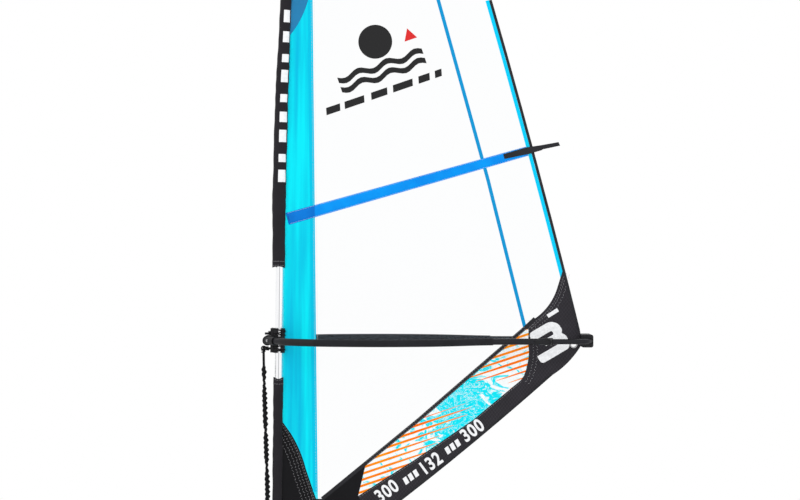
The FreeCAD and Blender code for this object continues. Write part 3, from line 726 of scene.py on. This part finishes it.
def stitches(name, marks, material):
    """Raised stitches; a mark is (centre, direction along the thread, direction outwards)."""
    vertices, faces = [], []
    for centre, along, out in marks:
        across = along.cross(out) * (THREAD / 2)
        half = along * (STITCH / 2)
        base = len(vertices)
        vertices += [centre - half - across, centre + half - across, centre + half + across,
                     centre - half + across, centre - half * 0.6 + out * THREAD * 0.6,
                     centre + half * 0.6 + out * THREAD * 0.6]
        a, b, c, d, e, f = range(base, base + 6)
        faces += [(a, b, f, e), (b, c, f), (c, d, e, f), (d, a, e), (d, c, b, a)]
    made = new_object(name, vertices, faces, material)
    close_normals(made)
    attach(made, "rig")


def beside(line, distance):
    """A line in the XZ plane moved sideways."""
    line = np.array(line, float)
    ways = np.gradient(line, axis=0)
    ways = ways / np.hypot(*ways.T)[:, None]
    return line + np.column_stack([-ways[:, 1], ways[:, 0]]) * distance


def nearest(point, a, b):
    """Distance from a point to a segment, all in the XZ plane."""
    way = b - a
    share = np.clip((point - a) @ way / max(way @ way, 1e-12), 0, 1)
    return np.hypot(*(point - a - way * share))


def shared_edge(first, second):
    """The line along which two CAD panels meet, from its lower end to its upper end."""
    one, other = broad_face(first, 1), broad_face(second, 1)
    rims = [[np.array((v.co.x, v.co.z)) for v in e.verts] for e in other.edges]
    found = []
    for v in one.verts:
        place = np.array((v.co.x, v.co.z))
        if min(nearest(place, a, b) for a, b in rims) < 0.0006:
            found.append(place)
    one.free()
    other.free()
    return sorted(found, key=lambda p: (round(p[1], 4), p[0]))


def ends_of(node, low, high):
    """Middles of the two ends of a long straight CAD piece between two heights."""
    points = np.array([(v.co.x, v.co.z) for v in nodes[node].data.vertices if low < v.co.z < high])
    way = np.linalg.svd(points - points.mean(0), full_matrices=False)[2][0]
    way = way * (1 if way[0] > 0 else -1)
    along = (points - points.mean(0)) @ way
    ends = [points[abs(along - limit) < 0.009] for limit in (along.min(), along.max())]
    return [(end.max(0) + end.min(0)) / 2 for end in ends]


# ---- round pieces ------------------------------------------------------------------------
def tube(name, rings, material, body=None):
    vertices, faces = closed_tube(rings)
    made = new_object(name, vertices, faces, material, body)
    smooth(made, 50)
    return made


def lathe(name, centre, profile, material, sides=48):
    """A solid of revolution about a vertical line, through (height, radius) points."""
    rings = []
    for height, radius in profile:
        turns = [2 * math.pi * j / sides for j in range(sides)]
        rings.append([Vector((centre[0] + radius * math.cos(t), centre[1] + radius * math.sin(t), height))
                      for t in turns])
    return tube(name, rings, material)


def rope(name, points, radius, body=None, up=(0, 0, 1)):
    rings = follow(points, lambda gone, angle: radius, 12, up)
    return tube(name, rings, "black_rope", body)


def uphaul_radius(gone, angle):
    """Bare rope under the boom, then a twisted elastic cover bunched up between narrow necks."""
    cover = min(1.0, max(0.0, (gone - 0.060) / 0.015)) * min(1.0, max(0.0, (0.975 - gone) / 0.03))
    fat = 0.5 + 0.5 * math.sin(2 * math.pi * gone / 0.180 + 0.7 * math.sin(17 * gone) - 0.4)
    fat = min(1.0, 1.9 * fat ** 0.55)
    turn = 2 * math.pi * gone / 0.022 + 0.8 * math.sin(31 * gone)
    twist = 0.0021 * math.cos(angle - turn) + 0.0006 * math.cos(2 * angle - turn)
    crease = 0.0003 * math.sin(2.3 * turn + angle)
    return 0.0053 + cover * (0.0043 * fat + twist * (0.5 + 0.5 * fat) + crease)


def wraps(name, start, step, half_width, half_height, turns, body):
    """Turns of thin rope round a bracket, along X from the start point."""
    points = []
    for k in range(turns * 16 + 1):
        angle = 2 * math.pi * k / 16
        uneven = 1 + 0.05 * math.sin(2.3 * angle)
        points.append((start[0] + step * k / 16, start[1] + half_width * uneven * math.cos(angle),
                       start[2] + half_height * uneven * math.sin(angle)))
    rope(name, points, LASHING_R, body, (1, 0, 0))


def make_uphaul():
    path = spline_points(UPHAUL_ROUTE, 200)
    made = tube("uphaul_rope", follow(path, uphaul_radius, 24), "black_rope")
    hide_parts("uphaul_line")
    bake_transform(made)
    eye_x, eye_z = UPHAUL_ROUTE[0][0], UPHAUL_ROUTE[0][2] + 0.0135
    loop = [(eye_x, -0.0045, eye_z - 0.022), (eye_x, -0.0095, eye_z - 0.010), (eye_x, -0.0085, eye_z + 0.002),
            (eye_x, 0.0, eye_z + 0.0045), (eye_x, 0.0085, eye_z + 0.002), (eye_x, 0.0095, eye_z - 0.010),
            (eye_x, 0.0045, eye_z - 0.022)]
    rope("uphaul_loop", spline_points(loop, 12), 0.0036, "boom_head", (1, 0, 0))
    tail = [(eye_x + 0.012, -0.004, eye_z - 0.002), (eye_x + 0.003, -0.011, eye_z - 0.003),
            (eye_x - 0.008, -0.006, eye_z - 0.006), (eye_x - 0.008, 0.007, eye_z - 0.009),
            (eye_x + 0.004, 0.009, eye_z - 0.011), (eye_x + 0.007, -0.006, eye_z - 0.013),
            (eye_x - 0.004, -0.010, eye_z - 0.015), (eye_x - 0.009, 0.003, eye_z - 0.017),
            (eye_x + 0.002, 0.008, eye_z - 0.018)]
    rope("uphaul_hitch", spline_points(tail, 12), 0.0028, "boom_head")


def make_lashings():
    """Rope turns on the two brackets of the boom head."""
    pivot = (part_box("boom_pivot_bolt")[0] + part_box("boom_pivot_bolt")[1]) / 2
    for name, ahead, rise in ("upper_lashing", -0.002, 0.0305), ("lower_lashing", 0.0105, -0.0345):
        wraps(name, (pivot.x - ahead, 0, pivot.z + rise), 0.0048, 0.0105, 0.0070, 3, "boom_head")
    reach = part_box("head_liner")[1].x + 0.0082
    for k, rise in enumerate((0.027, 0.033, 0.045, -0.024, -0.036, -0.043)):
        sag = 0.004 * (-1) ** k
        points = []
        for turn in (-10, 25, 60, 90, 120, 150, 166):
            angle = math.radians(turn)
            points.append((-reach * math.cos(angle), -reach * math.sin(angle),
                           pivot.z + rise + sag * math.cos(angle)))
        rope(f"clamp_lashing_{k + 1}", spline_points(points, 12), LASHING_R, "boom_head")


def make_outhaul():
    low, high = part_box("outhaul_line")
    wide, up, back = high.y - 0.002, high.z - 0.002, high.x
    front, down = low.x + 0.002, low.z + 0.002
    route = [(back, wide, up), (back - 0.012, wide, up), (front + 0.006, wide * 0.75, down + 0.004),
             (front, wide * 0.3, down), (front, -wide * 0.3, down),
             (front + 0.006, -wide * 0.75, down + 0.004), (back - 0.012, -wide, up), (back, -wide, up)]
    made = rope("outhaul_rope", spline_points(route, 12), 0.002)
    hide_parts("outhaul_line")
    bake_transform(made)


def make_tendon():
    """Two ribbed rubber halves that narrow to the waist between them."""
    for name, node, bodies in (("tendon_upper_rubber", "tendon_upper_half", ("foot", "waist")),
                               ("tendon_lower_rubber", "tendon_lower_half", ("base", "waist"))):
        low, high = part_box(node)
        upper = name == "tendon_upper_rubber"
        wide, narrow = high.x, 0.0112
        profile = []
        for k in range(41):
            t = k / 40
            height = low.z + (high.z - low.z) * t
            from_waist = t if upper else 1 - t
            shape = narrow + (wide - narrow) * from_waist ** 1.8
            rib = 0.0006 * max(0.0, math.sin(from_waist * 5 * math.pi * 2)) * (0.05 < from_waist < 0.8)
            profile.append((height, shape + rib))
        made = lathe(name, (0, 0), profile, "black_rubber")
        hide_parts(node)
        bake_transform(made)


# ---- sleeves -----------------------------------------------------------------------------
class Sleeve:
    """The surface of a luff sleeve: the sections of its CAD solid, with wrinkles."""

    def __init__(self, node):
        points = np.array([v.co for v in nodes[node].data.vertices])
        heights = [h for h in np.unique(points[:, 2].round(3))
                   if (abs(points[:, 2] - h) < 0.0006).sum() >= 12]
        rows = [points[abs(points[:, 2] - h) < 0.0006] for h in heights]
        self.z = np.array(heights)
        self.front = np.array([r[:, 0].min() for r in rows])
        self.rear = np.array([r[:, 0].max() for r in rows])
        self.half = np.array([r[:, 1].max() for r in rows])
        self.low, self.high = float(self.z[0]), float(self.z[-1])

    def at(self, z, angle, lift=0.0):
        """Point at a height; angle 0 is the front, a quarter turn is the near side."""
        front, rear = np.interp(z, self.z, self.front), np.interp(z, self.z, self.rear)
        half = np.interp(z, self.z, self.half)
        end = min(1.0, min(z - self.low, self.high - z) / 0.05)
        slow = math.sin(23 * z + 1.7 * math.sin(angle * 2) + 0.9)
        quick = math.sin(87 * z + 2.6 * math.cos(angle + 4 * z) + 2 * math.sin(13 * z))
        hem = 0.0006 if min(z - self.low, self.high - z) < 0.028 else 0.0
        lift = lift + 0.0004 + hem + end * (0.0007 * slow + 0.0005 * quick)
        x = (front + rear) / 2 - ((rear - front) / 2 + lift) * math.cos(angle)
        mouth = max(0.0, 1 - (self.high - z) / 0.03) - max(0.0, 1 - (z - self.low) / 0.03)
        return Vector((x, -(half + lift) * math.sin(angle), z + 0.0028 * mouth * math.cos(2 * angle)))

    def girth(self, z):
        ring = [self.at(z, 2 * math.pi * k / 60) for k in range(61)]
        return sum((a - b).length for a, b in zip(ring, ring[1:]))


def make_sleeve(name, node, ring_step=0.008, sides=56):
    sleeve = Sleeve(node)
    count = int((sleeve.high - sleeve.low) / ring_step)
    heights = [sleeve.low + (sleeve.high - sleeve.low) * k / count for k in range(count + 1)]
    vertices = [sleeve.at(z, 2 * math.pi * j / sides) for z in heights for j in range(sides)]
    faces = ring_faces(len(heights), sides)
    made = new_object(name, vertices, faces, "black_fabric")
    thicken(made, SLEEVE_CLOTH, -1)
    smooth(made, 50)
    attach(made, "rig")
    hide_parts(node)
    return sleeve


def sleeve_marks(sleeve):
    """Stitches round the hems of a sleeve."""
    marks = []
    for edge, way in ((sleeve.low, 1), (sleeve.high, -1)):
        for inset in (0.006, 0.024):
            z = edge + way * inset
            turns = int(sleeve.girth(z) / 0.0095)
            for k in range(turns):
                marks.append(sleeve_mark(sleeve, z, 2 * math.pi * k / turns))
    return marks


def sleeve_mark(sleeve, z, angle):
    here = sleeve.at(z, angle, 0.0002)
    out = (sleeve.at(z, angle, 0.003) - here).normalized()
    return here, out.cross(Vector((0, 0, 1))).normalized(), out


def patch_on_sleeve(name, sleeve, blocks, material, lift=0.0004):
    """Curved ink blocks; a block is (low height, high height, first angle, last angle)."""
    vertices, faces = [], []
    for low, high, first, last in blocks:
        rows, columns = max(2, int((high - low) / 0.008) + 1), max(3, int(abs(last - first) / 0.11) + 1)
        base = len(vertices)
        for i in range(rows):
            z = low + (high - low) * i / (rows - 1)
            for j in range(columns):
                vertices.append(sleeve.at(z, first + (last - first) * j / (columns - 1), lift))
        faces += grid_faces(rows, columns, base)
    made = new_object(name, vertices, faces, material)
    thicken(made, INK)
    close_normals(made)
    smooth(made)
    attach(made, "rig")


# ---- marks -------------------------------------------------------------------------------
def turned(points, centre, angle):
    """Flat points turned and moved to a centre in the XZ plane."""
    c, s = math.cos(angle), math.sin(angle)
    return [(centre[0] + c * x - s * z, centre[1] + s * x + c * z) for x, z in points]


def bar(centre, length, height, angle, slant=0.0):
    a, b = length / 2, height / 2
    return turned([(-a - slant, -b), (a - slant, -b), (a + slant, b), (-a + slant, b)], centre, angle)


def numeral(name, text, centre, angle, squeeze, lift):
    """Plain upright figures in white ink; a negative squeeze turns them for the far face."""
    data = bpy.data.curves.new(name, "FONT")
    data.body = text
    data.size = FIGURE_HEIGHT / 0.72        # the font's figures are 0.72 of its size
    data.offset = FIGURE_WEIGHT
    data.space_character = 1.12
    data.align_x, data.align_y = "CENTER", "CENTER"
    data.resolution_u = 6
    mesh = curve_mesh(data)
    flat = bmesh.new()
    flat.from_mesh(mesh)
    bmesh.ops.remove_doubles(flat, verts=flat.verts, dist=BISECT_REACH)
    for v, place in zip(flat.verts, turned([(v.co.x * squeeze, v.co.y) for v in flat.verts], centre, angle)):
        v.co = (place[0], 0, place[1])
    bpy.data.meshes.remove(mesh)
    bmesh.ops.recalc_face_normals(flat, faces=flat.faces)
    sheet_on_sail(name, flat, "white_ink", [lift], INK)


def area_figure(centre, angle):
    """A wide rounded 3, drawn as one band outline with two open slots."""
    corners = [(-80, -72, 26), (66, -72, 34), (80, -46, 12), (80, -14, 14), (68, 1, 4), (78, 12, 10),
               (78, 44, 24), (50, 72, 30), (-62, 72, 34), (-66, 33, 3), (36, 33, 8), (36, 14, 8),
               (-22, 14, 3), (-22, -14, 3), (38, -14, 8), (38, -33, 8), (-80, -33, 3)]
    points = []
    for k, (u, v, radius) in enumerate(corners):
        here = Vector((u, v))
        before = Vector(corners[k - 1][:2]) - here
        after = Vector(corners[(k + 1) % len(corners)][:2]) - here
        reach = min(radius, before.length * 0.49, after.length * 0.49)
        start, end = here + before.normalized() * reach, here + after.normalized() * reach
        for t in (0, 0.25, 0.5, 0.75, 1):
            place = start * (1 - t) ** 2 + here * (2 * t * (1 - t)) + end * t * t
            points.append((place.x * 0.00094, place.y * 0.00097))
    flipped = [(-x, z) for x, z in points]
    for name, shape, lift in (("area_figure", points, -INK_LIFT), ("area_figure_far", flipped, INK_LIFT)):
        bars_on_sail(name, [turned(shape, centre, angle)], "white_ink", [lift])


def bars_on_sail(name, outlines, material, lifts=(INK_LIFT, -INK_LIFT)):
    """Flat outlines in the XZ plane, inked on the sail at each lift."""
    flat = bmesh.new()
    for points in outlines:
        flat.faces.new([flat.verts.new((x, 0, z)) for x, z in points])
    sheet_on_sail(name, flat, material, lifts, INK, INK_CELL)


def close_normals(made):
    shape = bmesh.new()
    shape.from_mesh(made.data)
    bmesh.ops.recalc_face_normals(shape, faces=shape.faces)
    shape.to_mesh(made.data)
    shape.free()


# ---- making the rig ----------------------------------------------------------------------
def finish_cad_nodes():
    """Gives every CAD piece that stays in view its material."""
    for piece in frame["record"]["subparts"]:
        made = nodes[piece["node"]]
        made.data.materials.clear()
        made.data.materials.append(materials[piece["material_slot"]])


def make_sail():
    panel("luff_cloth", "luff_panel", "cyan_fabric", 0.0014)
    panel("window_film", "window_panel", "clear_film")
    panel("leech_film", "leech_panel", "clear_film")
    panel("clew_laminate", "clew_patch", "charcoal_fabric")
    panel("foot_laminate", "foot_band", "charcoal_fabric")
    panel("printed_panel", "graphic_panel", "graphic_fabric")
    panel("tack_cloth", "tack_patch", "dark_cloth", 0.0014)

    is_luff = lambda p: p.x < 0.2
    overlay("luff_seam_tape", "seam_tapes", "luff_tape", is_luff)
    overlay("leech_seam_tape", "seam_tapes", "seam_blue", lambda p: not is_luff(p))
    overlay("leech_stripe", "leech_strip", "leech_cyan")
    overlay("head_patch", "head_overlay", "head_film", lift=0.0007)
    folded("foot_seam_tape", "foot_seam_binding")
    is_leech = lambda p: p.z > 1.3
    folded("leech_binding", "edge_bindings", is_leech)
    folded("foot_binding", "edge_bindings", lambda p: not is_leech(p))


def lengthways(name, start, end, widths, profile, material, thickness):
    """A long strip on the near face; the profile gives its stand-off from (share across, share along)."""
    count, rows = 110, 17
    way = end - start
    side = np.array((-way[1], way[0])) / np.hypot(*way)
    vertices = []
    for i in range(count + 1):
        t = i / count
        for j in range(rows):
            across = 2 * j / (rows - 1) - 1
            x, z = start + way * t + side * (widths[0] + (widths[1] - widths[0]) * t) / 2 * across
            vertices.append((x, float(relief(x, z)) - profile(across, t), z))
    made = new_object(name, vertices, grid_faces(count + 1, rows), material)
    thicken(made, thickness)
    close_normals(made)
    smooth(made)
    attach(made, "rig")
    return made


def pocket_height(across, along):
    """A pocket lies flat at its sewn edges and stands over its batten."""
    inner = min(1.0, max(0.0, (0.84 - abs(across)) / 0.30)) * min(1.0, along / 0.012, (1 - along) / 0.012)
    return 0.0006 + 0.0029 * inner * inner * (3 - 2 * inner)


def make_batten(name, low, high, widths):
    """A tapered batten in its sewn pocket."""
    start, end = ends_of("battens", low, high)
    reach = (end - start) / np.hypot(*(end - start)) * 0.006
    pocket = lengthways(name + "_pocket", start - reach, end + reach, widths, pocket_height, "blue_tape",
                        TAPE)
    rod = lengthways(name, start, end, (0.021, 0.021), lambda across, along: 0.0018, "batten_rod",
                     0.0020)
    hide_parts("batten_pockets")
    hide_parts("battens")
    sewn = []
    for share in (-0.44, 0.44):
        side = np.array((reach[1], -reach[0])) / 0.006
        first, last = start + side * widths[0] * share, end + side * widths[1] * share
        sewn += row_marks([first, last], 0.0009, step=0.011, sides=(-1,))
    return sewn


def make_strap():
    """Webbing that tensions the main batten, doubled where it passes the leech."""
    made = sheet_on_sail("batten_strap_webbing", broad_face("batten_strap", -1), "webbing",
                         [-0.0047], 0.0012)
    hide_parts("batten_strap")
    low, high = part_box("batten_strap")
    doubled = broad_face("batten_strap", -1)
    for limit, way in ((low.x + 0.10, -1), (high.x - 0.075, 1)):
        parts = doubled.verts[:] + doubled.edges[:] + doubled.faces[:]
        bmesh.ops.bisect_plane(doubled, geom=parts, plane_co=(limit, 0, 0), plane_no=(way, 0, 0),
                               dist=BISECT_REACH, clear_outer=True)
    sheet_on_sail("batten_strap_fold", doubled, "webbing", [-0.0058], 0.0009)


def sew_the_sail(marks):
    """Seams and patch stitching, in grey thread on dark cloth and pale thread on the coloured tapes."""
    dark = [mark for first, second, insets, lift, zigzag in DARK_SEAMS for inset in insets
            for mark in row_marks(beside(shared_edge(first, second), inset), lift, zigzag)]
    luff_seam = shared_edge("luff_panel", "window_panel")
    pale = list(marks)
    for inset in (-0.0065, 0.0065):
        pale += row_marks(beside(luff_seam, inset), 0.0008, step=0.012)
    stitches("dark_cloth_stitching", dark, "grey_thread")
    stitches("tape_stitching", pale, "white_thread")


def make_marks():
    """Sail size and length figures, with plain bars and a sun over waves for the rest."""
    area_figure((1.144, 1.351), math.radians(31))
    for name, text, place in (("mast_figure", "300", (0.825, 0.966)), ("boom_figure", "132", (0.649, 0.824)),
                              ("luff_figure", "300", (0.465, 0.705))):
        for face, end in (-1, ""), (1, "_far"):
            numeral(name + end, text, place, FOOT_TILT, -0.82 * face, INK_LIFT * face)
    plain = [bar((1.160, 1.470), 0.052, 0.016, math.radians(33))]
    for place in (0.742, 0.898), (0.566, 0.768):
        for step in (-0.026, 0.0, 0.026):
            centre = (place[0] + step * math.cos(FOOT_ROW), place[1] + step * math.sin(FOOT_ROW))
            plain.append(bar(centre, 0.018, 0.030, FOOT_TILT, 0.002))
    bars_on_sail("foot_bars", plain, "white_ink")
    tilt, middle = math.radians(19.4), (0.400, 2.560)
    disc = [(0.012 + 0.072 * math.cos(t), 0.052 + 0.072 * math.sin(t))
            for t in (2 * math.pi * k / 40 for k in range(40))]
    black = [turned(disc, middle, tilt)]
    for level in (-0.052, -0.094):
        for k in range(24):
            u, v = (-0.190 + 0.0158 * (k + step) for step in (0, 1))
            heights = [level + 0.011 * math.sin(2 * math.pi * w / 0.127) for w in (u, v)]
            black.append(turned([(u, heights[0] - 0.012), (v, heights[1] - 0.012), (v, heights[1] + 0.012),
                                 (u, heights[0] + 0.012)], middle, tilt))
    bars_on_sail("sun_and_waves", black, "black_ink")
    red = [(0.130, 0.012), (0.186, 0.012), (0.158, 0.062)]
    bars_on_sail("small_sail", [turned(red, middle, tilt)], "red_ink")
    line = np.array([(0.184, 2.312), (0.683, 2.488)])
    under = []
    for share, length in ((0.07, 0.062), (0.25, 0.088), (0.46, 0.072), (0.66, 0.088), (0.84, 0.050),
                          (0.96, 0.030)):
        under.append(bar(line[0] + (line[1] - line[0]) * share, length, 0.030, tilt, 0.004))
    bars_on_sail("under_bars", under, "black_ink")
    blocks = []
    for side in (1, -1):
        for k, length in enumerate((0.052, 0.034, 0.052, 0.044, 0.034, 0.052, 0.034, 0.046, 0.052)):
            low = 2.012 + 0.0845 * k
            blocks.append((low, low + length, side * 0.45 * math.pi, side * 0.84 * math.pi))
    patch_on_sleeve("sleeve_bars", upper_sleeve, blocks, "white_ink")


def floor_and_light():
    scene = bpy.context.scene
    scene.view_settings.view_transform = "Standard"
    world = bpy.data.worlds.new("studio")
    world.use_nodes = True
    background = world.node_tree.nodes["Background"]
    background.inputs["Color"].default_value = (1, 1, 1, 1)
    background.inputs["Strength"].default_value = 1.0
    scene.world = world
    for name, place, size, power in (("key", (-2.6, -4.2, 4.6), 3.0, 34), ("fill", (3.8, -4.6, 2.4), 3.0, 8),
                                     ("back", (1.6, 4.8, 4.2), 3.5, 24)):
        data = bpy.data.lights.new(name, "AREA")
        data.size = size
        data.energy = power
        light = bpy.data.objects.new(name, data)
        light.location = place
        light.rotation_euler = (Vector((0.5, 0, 1.6)) - Vector(place)).to_track_quat("-Z", "Y").to_euler()
        scene.collection.objects.link(light)
    ground = bmesh.new()
    bmesh.ops.create_circle(ground, cap_ends=True, segments=128, radius=3.2)
    mesh = bpy.data.meshes.new("floor")
    ground.to_mesh(mesh)
    ground.free()
    floor = bpy.data.objects.new("floor", mesh)
    floor.location = (0.5, 0, cad_box[0][2])
    pale = Surface("floor", (0.86, 0.86, 0.855), 0.8)
    pale.vary_roughness(pale.noise(4), 0.7, 0.9)
    mesh.materials.append(pale.material)
    scene.collection.objects.link(floor)


materials = make_materials()
clew_and_tack = ring_centres()
make_camera()
make_uphaul()
make_lashings()
make_outhaul()
finish_cad_nodes()
make_tendon()
make_sail()
lower_sleeve = make_sleeve("lower_luff_sleeve", "luff_sleeve_lower")
upper_sleeve = make_sleeve("upper_luff_sleeve", "luff_sleeve_upper")
stitches("sleeve_stitching", sleeve_marks(lower_sleeve) + sleeve_marks(upper_sleeve), "grey_thread")
sewn_edges = make_batten("main_batten", 1.8, 2.2, (0.052, 0.040))
sewn_edges += make_batten("top_batten", 2.8, 3.1, (0.044, 0.034))
make_strap()
sew_the_sail(sewn_edges)
make_marks()
floor_and_light()
